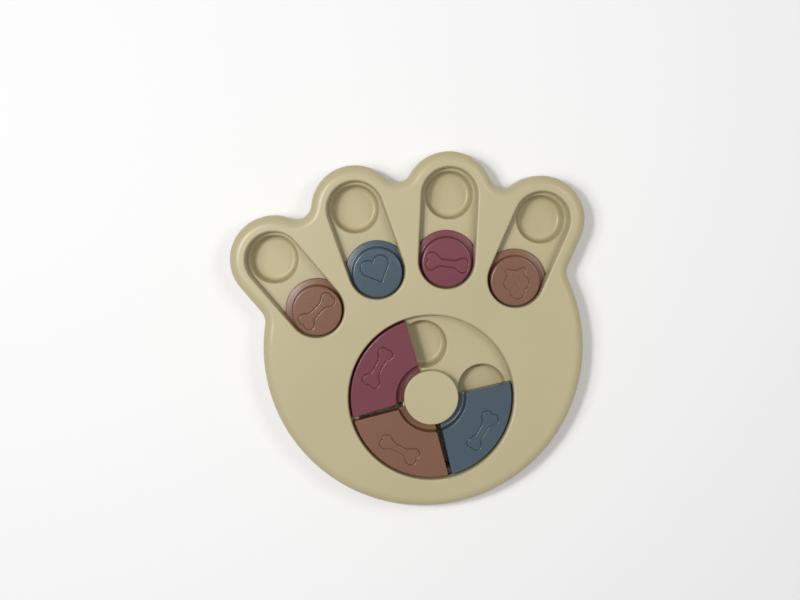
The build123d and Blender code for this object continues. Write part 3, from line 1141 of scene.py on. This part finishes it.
@dataclass
class ScrewSet(Recipe):
    """Pan-head screws that hold the tray and the hub cap from below.

    Attributes:
        head_radius: Radius of a head.
        head_height: Height of a head.
        recess_reach: Length of each arm of the driving recess.
        recess_width: Width of each arm.
        recess_depth: Depth of the recess.
        core_radius: Radius of the shank between its threads.
        shank: Length of the shank.
        thread: Height of the thread.
        pitch: Distance between turns.
    """

    head_radius: float = 2.9 * MM
    head_height: float = 1.9 * MM
    recess_reach: float = 3.0 * MM
    recess_width: float = 0.75 * MM
    recess_depth: float = 1.0 * MM
    core_radius: float = 1.05 * MM
    shank: float = 8.2 * MM
    thread: float = 0.3 * MM
    pitch: float = 1.1 * MM

    name = "pan_head_screws"
    head_segments = 44
    head_rings = 26
    shank_segments = 28
    shank_rings = 4
    ridge_sides = 4
    # Shares of the core's radius at its tip, and of the shank's length
    core_tip = 0.55
    thread_tip = 0.62
    thread_start = 0.07
    thread_run = 0.86

    def sizes(self) -> dict[str, float]:
        """Give the tree's named inputs and their values."""
        return {"Head Radius": self.head_radius, "Head Height": self.head_height,
                "Recess Reach": self.recess_reach, "Recess Width": self.recess_width,
                "Recess Depth": self.recess_depth, "Core Radius": self.core_radius, "Shank": self.shank,
                "Thread": self.thread, "Turns": (self.shank - 2 * self.pitch) / self.pitch}

    def head(self, bench: NodeBench, given: Any) -> Any:
        """Build a domed head below z = 0 with a cross recess.

        Args:
            bench: The tree to build in.
            given: The tree's input sockets.

        Returns:
            The head's geometry socket.
        """
        ball = bench.add("GeometryNodeMeshUVSphere", Segments=self.head_segments, Rings=self.head_rings,
                         Radius=given["Head Radius"])
        place = bench.place()
        wide = bench.math("ADD", bench.square(place["X"]), bench.square(place["Y"]))
        dome = bench.bend(bench.math("DIVIDE", wide, bench.square(given["Head Radius"])))
        below = bench.math("LESS_THAN", place["Z"], 0.0)
        depth = bench.math("MULTIPLY", bench.math("MULTIPLY", dome, given["Head Height"]), below)
        spot = bench.add("ShaderNodeCombineXYZ", X=place["X"], Y=place["Y"],
                         Z=bench.math("MULTIPLY", depth, -1.0)).outputs["Vector"]
        domed = bench.add("GeometryNodeSetPosition", Geometry=ball.outputs["Mesh"], Position=spot)
        cut = bench.add("GeometryNodeMeshBoolean", {"operation": "DIFFERENCE"},
                        Mesh_1=domed.outputs["Geometry"])
        deep = bench.math("MULTIPLY", given["Recess Depth"], 2.0)
        for long, short in (("X", "Y"), ("Y", "X")):
            size = bench.add("ShaderNodeCombineXYZ", Z=deep, **{long: given["Recess Reach"],
                                                                short: given["Recess Width"]})
            bar = bench.add("GeometryNodeMeshCube", Size=size.outputs["Vector"])
            bench.feed(cut, "Mesh 2", moved(bench, bar.outputs["Mesh"],
                                            bench.math("MULTIPLY", given["Head Height"], -1.0)))
        return cut.outputs["Mesh"]

    def shape(self, bench: NodeBench, given: Any) -> Any:
        """Build one screw with its seat at z = 0 and its shank upwards.

        Args:
            bench: The tree to build in.
            given: The tree's input sockets.

        Returns:
            The screw's geometry socket.
        """
        core = bench.add("GeometryNodeMeshCone", Vertices=self.shank_segments, Side_Segments=self.shank_rings,
                         Radius_Top=bench.math("MULTIPLY", given["Core Radius"], self.core_tip),
                         Radius_Bottom=given["Core Radius"], Depth=given["Shank"])
        helix = bench.add("GeometryNodeCurveSpiral", Resolution=self.shank_segments, Rotations=given["Turns"],
                          Start_Radius=given["Core Radius"],
                          End_Radius=bench.math("MULTIPLY", given["Core Radius"], self.thread_tip),
                          Height=bench.math("MULTIPLY", given["Shank"], self.thread_run))
        ridge = bench.add("GeometryNodeCurvePrimitiveCircle", Resolution=self.ridge_sides,
                          Radius=given["Thread"])
        thread = bench.add("GeometryNodeCurveToMesh", Curve=helix.outputs["Curve"],
                           Profile_Curve=ridge.outputs["Curve"], Fill_Caps=True)
        start = bench.math("MULTIPLY", given["Shank"], self.thread_start)
        raised = moved(bench, thread.outputs["Mesh"], start)
        whole = bench.add("GeometryNodeJoinGeometry")
        for part in (raised, core.outputs["Mesh"], self.head(bench, given)):
            bench.feed(whole, "Geometry", part)
        return whole.outputs["Geometry"]

    def dress(self) -> bpy.types.Object:
        """Set a screw in place of each packed one.

        Returns:
            The screws as one piece.
        """
        nodes = ("cover_screws", "hub_screw")
        spots = [spot + Vector((0.0, 0.0, self.head_height)) for spot in middles(*nodes)]
        piece = self.build("plate_screws", spots, STEEL)
        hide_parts(*nodes)
        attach(piece, PLATE)
        return piece


@dataclass
class FootSet(Recipe):
    """Rubber feet with ringed soles under the wells and the palm.

    Attributes:
        edge_round: Rounding of the sole's edge.
        ring_depth: Depth of the sole's grooves.
        ring_pitch: Distance between the sole's grooves.
    """

    edge_round: float = 0.8 * MM
    ring_depth: float = 0.45 * MM
    ring_pitch: float = 2.1 * MM

    name = "ringed_feet"
    spokes = 80
    rings = 36
    # Distance within which points belong to one foot
    reach = 20.0 * MM
    nodes = ("foot_toe_1", "foot_toe_2", "foot_toe_3", "foot_toe_4", "foot_palm_left", "foot_palm_right")

    def sizes(self) -> dict[str, float]:
        """Give the tree's named inputs and their values."""
        low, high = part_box(self.nodes[0])
        return {"Radius": (high.x - low.x) / 2, "Thickness": high.z - low.z, "Edge Round": self.edge_round,
                "Ring Depth": self.ring_depth, "Ring Pitch": self.ring_pitch}

    def shape(self, bench: NodeBench, given: Any) -> Any:
        """Build one foot that stands on z = 0.

        Args:
            bench: The tree to build in.
            given: The tree's input sockets.

        Returns:
            The foot's geometry socket.
        """
        disc = bench.add("GeometryNodeMeshCylinder", Vertices=self.spokes, Side_Segments=1,
                         Fill_Segments=self.rings, Radius=given["Radius"], Depth=given["Thickness"])
        place = bench.place()
        wide = bench.math("SQRT", bench.math("ADD", bench.square(place["X"]), bench.square(place["Y"])))
        turn = bench.math("MULTIPLY", bench.math("DIVIDE", wide, given["Ring Pitch"]), 2 * math.pi)
        wave = bench.math("MULTIPLY", bench.math("SUBTRACT", 1.0, bench.math("COSINE", turn)), 0.5)
        groove = bench.math("MULTIPLY", bench.square(wave), given["Ring Depth"])
        past = bench.math("SUBTRACT", wide, bench.math("SUBTRACT", given["Radius"], given["Edge Round"]))
        share = bench.math("MAXIMUM", bench.math("DIVIDE", past, given["Edge Round"]), 0.0)
        edge = bench.math("MULTIPLY", bench.math("SUBTRACT", 1.0, bench.bend(share)), given["Edge Round"])
        below = bench.math("LESS_THAN", place["Z"], 0.0)
        lift = bench.math("MULTIPLY", bench.math("MAXIMUM", groove, edge), below)
        shift = bench.add("ShaderNodeCombineXYZ", Z=lift).outputs["Vector"]
        formed = bench.add("GeometryNodeSetPosition", Geometry=disc.outputs["Mesh"], Offset=shift)
        return moved(bench, formed.outputs["Geometry"], bench.math("MULTIPLY", given["Thickness"], 0.5))

    def dress(self) -> bpy.types.Object:
        """Set a foot in place of each packed one.

        Returns:
            The feet as one piece.
        """
        piece = self.build("rubber_feet", middles(*self.nodes, reach=self.reach), RUBBER)
        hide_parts(*self.nodes)
        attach(piece, PLATE)
        return piece


@dataclass
class PinMarks(Recipe):
    """Round marks that the mould's ejector pins leave under the deck.

    Attributes:
        radius: Radius of a mark.
        lip: Radius of its raised lip.
        spread: Distance of the marks from the hub.
        turns: Their places round the hub in degrees from +Y.
    """

    radius: float = 3.0 * MM
    lip: float = 0.16 * MM
    spread: float = 66.0 * MM
    turns: tuple[float, ...] = (-97.0, -75.0, -50.0, -25.0, 0.0, 25.0, 50.0, 75.0, 97.0)

    name = "ejector_marks"
    path_steps = 56
    lip_steps = 8

    def sizes(self) -> dict[str, float]:
        """Give the tree's named inputs and their values."""
        return {"Radius": self.radius, "Lip": self.lip}

    def shape(self, bench: NodeBench, given: Any) -> Any:
        """Build one raised lip round the origin.

        Args:
            bench: The tree to build in.
            given: The tree's input sockets.

        Returns:
            The lip's geometry socket.
        """
        path, ridge = (bench.add("GeometryNodeCurvePrimitiveCircle", Resolution=steps, Radius=given[size])
                       for steps, size in ((self.path_steps, "Radius"), (self.lip_steps, "Lip")))
        return bench.add("GeometryNodeCurveToMesh", Curve=path.outputs["Curve"],
                         Profile_Curve=ridge.outputs["Curve"]).outputs["Mesh"]

    def dress(self, hub: Vector, deck_under: float) -> bpy.types.Object:
        """Set the marks under the deck.

        Args:
            hub: The hub's middle.
            deck_under: Height of the deck's underside.

        Returns:
            The marks as one piece.
        """
        spots = [Vector((hub.x + self.spread * math.sin(turn), hub.y + self.spread * math.cos(turn),
                         deck_under)) for turn in map(math.radians, self.turns)]
        piece = self.build("ejector_pin_marks", spots, CREAM)
        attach(piece, PLATE)
        return piece


# Plate and studio


@dataclass
class PlateShell:
    """The fixed mouldings of the plate, shown as they are packed.

    Attributes:
        slots: Record's material slot of each moulding; the slot names are not used.
    """

    slots: dict[str, str] = field(default_factory=lambda: {
        "top_cover": "cover_plastic", "base_tray": "tray_plastic", "hub_cap": "cover_plastic"})

    @property
    def hub(self) -> Vector:
        """Middle of the hub cap."""
        low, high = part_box("hub_cap")
        return (low + high) / 2

    def dress(self) -> list[bpy.types.Object]:
        """Give the mouldings their finish.

        Returns:
            The mouldings.
        """
        pieces = []
        for node, slot in self.slots.items():
            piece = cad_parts[node]
            piece.data.materials.clear()
            piece.data.materials.append(CREAM.material())
            pieces.append(piece)
        return pieces


@dataclass(frozen=True)
class Lamp:
    """A square area lamp that faces the plate.

    Attributes:
        name: Its name.
        power: Its power in watts.
        size: Its side.
        direction: Direction from the plate to the lamp.
        distance: Its distance from the plate.
    """

    name: str
    power: float
    size: float
    direction: tuple[float, float, float]
    distance: float

    def build(self, aim: Vector) -> bpy.types.Object:
        """Hang the lamp.

        Args:
            aim: The point that it faces.

        Returns:
            The lamp.
        """
        light = bpy.data.lights.new(self.name, "AREA")
        light.energy, light.size = self.power, self.size
        lamp = add_object(self.name, light)
        away = Vector(self.direction).normalized()
        lamp.location = aim + away * self.distance
        lamp.rotation_euler = away.to_track_quat("Z", "Y").to_euler()
        return lamp


@dataclass
class Studio:
    """Pale floor, soft light and camera.

    Attributes:
        floor_size: Side of the floor.
        floor_white: Floor's reflectance.
        floor_glow: Light that the floor adds where it is seen.
        floor_rough: Floor's roughness.
        floor_shine: Floor's specular level.
        sky: Strength of the even light.
        backdrop: Strength of the sky where it is seen.
        lamps: A small lamp that draws the shadows, and a soft panel on each side of the camera.
        eye: Camera's place.
        aim: Point that the camera looks at.
        roll: Turn of the camera's upright from +Y in degrees.
        lens: Focal length in mm.
    """

    floor_size: float = 8.0
    floor_white: float = 0.88
    floor_glow: float = 0.12
    floor_rough: float = 0.9
    floor_shine: float = 0.1
    sky: float = 0.28
    backdrop: float = 0.8
    lamps: tuple[Lamp, ...] = (
        Lamp("key", power=5.1, size=0.13, direction=(-0.32, 0.2, 1.0), distance=1.3),
        Lamp("left_panel", power=4.0, size=0.34, direction=(-0.46, 0.16, 1.0), distance=1.2),
        Lamp("right_panel", power=2.2, size=0.34, direction=(0.5, 0.16, 1.0), distance=1.2),
    )
    eye: tuple[float, float, float] = (-0.0235, 0.0970, 0.8910)
    aim: tuple[float, float, float] = (-0.01033, 0.02290, 0.027)
    roll: float = 8.46
    lens: float = 63.0

    def seen(self, bench: NodeBench) -> Any:
        """Give 1 for what the camera sees directly, in a reflection or through a clear piece.

        Args:
            bench: The tree to build in.

        Returns:
            The mask socket.
        """
        path = bench.add("ShaderNodeLightPath").outputs
        either = bench.math("MAXIMUM", path["Is Camera Ray"], path["Is Glossy Ray"])
        return bench.math("MAXIMUM", either, path["Is Transmission Ray"])

    def floor(self) -> bpy.types.Object:
        """Lay the floor just under the feet.

        Returns:
            The floor.
        """
        half = self.floor_size / 2
        mesh = bpy.data.meshes.new("studio_floor")
        mesh.from_pydata([(-half, -half, 0.0), (half, -half, 0.0), (half, half, 0.0), (-half, half, 0.0)], [],
                         [(0, 1, 2, 3)])
        paint = bpy.data.materials.new("studio_floor")
        paint.use_nodes = True
        bench = NodeBench(paint.node_tree)
        shader = paint.node_tree.nodes["Principled BSDF"]
        shader.inputs["Base Color"].default_value = (self.floor_white,) * 3 + (1.0,)
        shader.inputs["Roughness"].default_value = self.floor_rough
        shader.inputs["Specular IOR Level"].default_value = self.floor_shine
        shader.inputs["Emission Strength"].default_value = self.floor_glow
        bench.feed(shader, "Emission Color", self.seen(bench))
        mesh.materials.append(paint)
        floor = add_object("studio_floor", mesh)
        return floor

    def light(self) -> None:
        """Set the even light and hang the lamps."""
        scene = bpy.context.scene
        scene.world = bpy.data.worlds.new("studio")
        scene.world.use_nodes = True
        bench = NodeBench(scene.world.node_tree)
        ground = scene.world.node_tree.nodes["Background"]
        ground.inputs["Color"].default_value = (1.0, 1.0, 1.0, 1.0)
        bench.feed(ground, "Strength", bench.spread(self.seen(bench), 0.0, 1.0, self.sky, self.backdrop))
        for lamp in self.lamps:
            lamp.build(Vector(self.aim))

    def camera(self) -> bpy.types.Object:
        """Place the camera as the photograph was taken.

        Returns:
            The camera.
        """
        scene = bpy.context.scene
        scene.view_settings.view_transform = "Standard"
        lens = bpy.data.cameras.new("camera")
        lens.lens = self.lens
        camera = add_object("camera", lens)
        back = (Vector(self.eye) - Vector(self.aim)).normalized()
        turn = math.radians(self.roll)
        right = Vector((math.sin(turn), math.cos(turn), 0.0)).cross(back).normalized()
        axes = Matrix((right, back.cross(right), back)).transposed()
        camera.matrix_world = Matrix.Translation(self.eye) @ axes.to_4x4()
        scene.camera = camera
        return camera


def main() -> None:
    """Build every sub-assembly in order and report each piece."""
    logging.basicConfig(level=logging.INFO, format="%(name)s: %(message)s")
    shell = PlateShell()
    pieces = shell.dress()
    pucks = [
        ToePuck(1, Tint.BROWN, Bone(), turn=38.0),
        ToePuck(2, Tint.BLUE, Heart(), turn=16.0),
        ToePuck(3, Tint.PLUM, Bone(), turn=-17.0, shift=(0.0, -0.6 * MM)),
        ToePuck(4, Tint.BROWN, Acorn(), turn=-3.0, shift=(0.6 * MM, -0.5 * MM)),
    ]
    pieces += [puck.build() for puck in pucks]
    pieces += [RingSlider(tint).build(shell.hub) for tint in (Tint.BLUE, Tint.BROWN, Tint.PLUM)]
    screws = ScrewSet()
    deck_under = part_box("cover_screws")[0].z + screws.head_height
    pieces += [screws.dress(), FootSet().dress(), PinMarks().dress(shell.hub, deck_under)]
    for piece in pieces:
        LOG.info("%s: %d faces", piece.name, len(piece.data.polygons))
    studio = Studio()
    studio.floor()
    studio.light()
    studio.camera()


if __name__ == "__main__":
    main()
